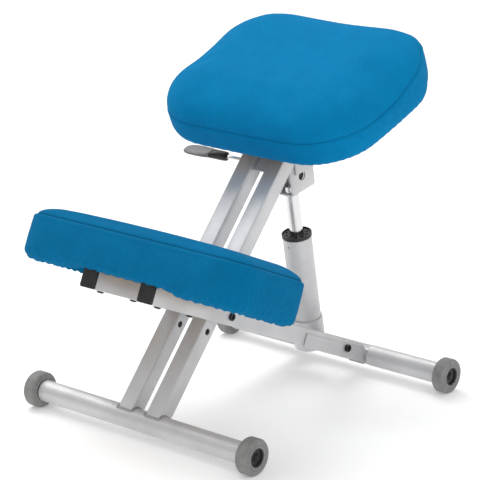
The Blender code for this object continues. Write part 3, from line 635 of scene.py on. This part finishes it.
def makeWeld(name, corners, body, wrap=None):
    # a rippled bead along straight runs between corners, laid on wrap(point) where one is given
    points = []
    for first, second in zip(corners, corners[1:] + corners[:1]):
        first, second = Vector(first), Vector(second)
        count = max(2, int((second - first).length / weldLook["step"]))
        points += [first.lerp(second, index / count) for index in range(count)]
    if wrap:
        points = [wrap(point) for point in points]
    finishPiece(name, closedBead(points), body, looks["weld"], smoothAngle=80.0)


def footWelds():
    lowest, highest = (Vector(corner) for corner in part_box("front_foot_tube"))
    centre = (lowest + highest) / 2
    radius = (highest.z - lowest.z) / 2 + weldLook["lift"]
    run = Vector((0.0, -math.sin(tubeLean), math.cos(tubeLean)))
    side = Vector((0.0, math.cos(tubeLean), math.sin(tubeLean)))
    front, back = weldLook["front"], weldLook["back"]

    def onFoot(spot):
        reach = math.sqrt(max(0.0, radius * radius - spot.y * spot.y))
        return Vector((spot.x, centre.y, centre.z)) + run * reach + side * spot.y

    for name in ("inner_tube_left", "inner_tube_right"):
        low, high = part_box(name)
        left, right = low[0] - weldLook["aside"], high[0] + weldLook["aside"]
        corners = [(left, front, 0), (right, front, 0), (right, back, 0), (left, back, 0)]
        makeWeld("weld_" + name, corners, "seat_frame", onFoot)


def beamWelds():
    crossLow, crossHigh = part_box("rear_cross_tube")
    lift = weldLook["lift"]
    y = crossLow[1] - lift
    bottom, top = crossLow[2] + weldLook["underside"], crossHigh[2] + lift
    for name in ("outer_beam_left", "outer_beam_right"):
        low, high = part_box(name)
        left, right = low[0] - lift, high[0] + lift
        corners = [(left, y, bottom), (right, y, bottom), (right, y, top), (left, y, top)]
        makeWeld("weld_" + name, corners, "base_frame")


looks["weld"] = makeMetal("weldBeadSteel", (0.42, 0.42, 0.43), 0.42, 0.7, (1, 1, 1), 0.2)
footWelds()
beamWelds()
print("welds made")


nodeLook = {"merge": 0.000002, "sharp": 32}


def smoothFaces():
    # merges a node's loose triangles and shades them smooth, without touching its mesh
    group = bpy.data.node_groups.new("smoothFaces", "GeometryNodeTree")
    group.interface.new_socket(name="Geometry", in_out="INPUT", socket_type="NodeSocketGeometry")
    group.interface.new_socket(name="Geometry", in_out="OUTPUT", socket_type="NodeSocketGeometry")
    start = addNode(group, "NodeGroupInput")
    merge = addNode(group, "GeometryNodeMergeByDistance")
    merge.inputs["Distance"].default_value = nodeLook["merge"]
    shade = addNode(group, "GeometryNodeSetShadeSmooth")
    end = addNode(group, "NodeGroupOutput")
    group.links.new(start.outputs["Geometry"], merge.inputs["Geometry"])
    group.links.new(merge.outputs["Geometry"], shade.inputs["Geometry"])
    group.links.new(shade.outputs["Geometry"], end.inputs["Geometry"])
    return group


def dressNodes():
    slots = {item["node"]: item["material_slot"] for item in frame["record"]["subparts"]}
    group = smoothFaces()
    for name, node in nodes.items():
        look = looks.get(slots.get(name))
        if look is None or node.type != "MESH":
            continue
        for slot in node.material_slots:
            slot.material = look
        node.modifiers.new("Smooth", "NODES").node_group = group
        node.modifiers.new("Edges", "EDGE_SPLIT").split_angle = math.radians(nodeLook["sharp"])


dressNodes()
print("nodes dressed")


cameraLook = {
    "azimuth": 40.2308, "elevation": 16.0167, "roll": 0.3221, "distance": 3.5763,
    "target": (-0.00725, 0.00836, 0.27683), "lens": 161.77, "sensor": 36.0, "farthest": 50.0,
}


def makeCamera():
    azimuth, elevation, roll = (math.radians(cameraLook[key]) for key in ("azimuth", "elevation", "roll"))
    level = math.cos(elevation)
    back = Vector((math.sin(azimuth) * level, -math.cos(azimuth) * level, math.sin(elevation)))
    right = Vector((math.cos(azimuth), math.sin(azimuth), 0.0))
    up = back.cross(right)
    rolledRight = right * math.cos(roll) + up * math.sin(roll)
    rolledUp = up * math.cos(roll) - right * math.sin(roll)
    data = bpy.data.cameras.new("camera")
    data.sensor_width = cameraLook["sensor"]
    data.lens = cameraLook["lens"]
    data.clip_end = cameraLook["farthest"]
    camera = bpy.data.objects.new("camera", data)
    scene.collection.objects.link(camera)
    place = Vector(cameraLook["target"]) + back * cameraLook["distance"]
    turn = Matrix((rolledRight, rolledUp, back)).transposed().to_4x4()
    camera.matrix_world = Matrix.Translation(place) @ turn
    scene.camera = camera


studioLook = {
    "horizon": 0.30, "overhead": 0.85, "sun": 1.5, "sunAngle": 50, "sunAim": (0.55, -0.15, -1.0),
    "strip": {"place": (2.4, -1.4, 1.6), "aim": (0, 0, 0.3), "size": (0.5, 2.0), "power": 9.0},
    "floor": (0.92, 0.92, 0.92), "floorSize": 9.0, "floorGlow": 0.22,
}


def addArea(name, place, aim, size, power):
    data = bpy.data.lights.new(name, "AREA")
    data.shape = "RECTANGLE"
    data.size, data.size_y = size
    data.energy = power
    lamp = bpy.data.objects.new(name, data)
    scene.collection.objects.link(lamp)
    turn = (Vector(aim) - Vector(place)).to_track_quat("-Z", "Y").to_matrix().to_4x4()
    lamp.matrix_world = Matrix.Translation(Vector(place)) @ turn


def makeSky():
    # white all round, brighter overhead than at the horizon
    world = bpy.data.worlds.new("studio")
    scene.world = world
    world.use_nodes = True
    tree = world.node_tree
    background = tree.nodes["Background"]
    background.inputs["Color"].default_value = (1.0, 1.0, 1.0, 1.0)
    direction = addNode(tree, "ShaderNodeTexCoord")
    split = addNode(tree, "ShaderNodeSeparateXYZ")
    tree.links.new(direction.outputs["Generated"], split.inputs["Vector"])
    strength = spread(tree, split.outputs["Z"], studioLook["horizon"], studioLook["overhead"], -0.05, 0.95)
    tree.links.new(strength, background.inputs["Strength"])


def addSun():
    sun = bpy.data.lights.new("key", "SUN")
    sun.energy = studioLook["sun"]
    sun.angle = math.radians(studioLook["sunAngle"])
    lamp = bpy.data.objects.new("key", sun)
    scene.collection.objects.link(lamp)
    lamp.matrix_world = Vector(studioLook["sunAim"]).to_track_quat("-Z", "Y").to_matrix().to_4x4()


def makeFloor():
    shape = bmesh.new()
    bmesh.ops.create_grid(shape, x_segments=1, y_segments=1, size=studioLook["floorSize"])
    mesh = bpy.data.meshes.new("floor")
    shape.to_mesh(mesh)
    shape.free()
    material, tree, shader = newMaterial("paleFloor", studioLook["floor"], 0.55)
    rough = spread(tree, noise(tree, objectCoords(tree), 3.0), 0.5, 0.6)
    tree.links.new(rough, shader.inputs["Roughness"])
    shader.inputs["Emission Color"].default_value = (1.0, 1.0, 1.0, 1.0)
    shader.inputs["Emission Strength"].default_value = studioLook["floorGlow"]
    mesh.materials.append(material)
    floor = bpy.data.objects.new("floor", mesh)
    scene.collection.objects.link(floor)


def makeStudio():
    makeSky()
    addSun()
    addArea("stripLight", **studioLook["strip"])
    scene.view_settings.view_transform = "Standard"  # the default curve greys the blue fabric
    makeFloor()


makeCamera()
makeStudio()
print("camera and studio set")
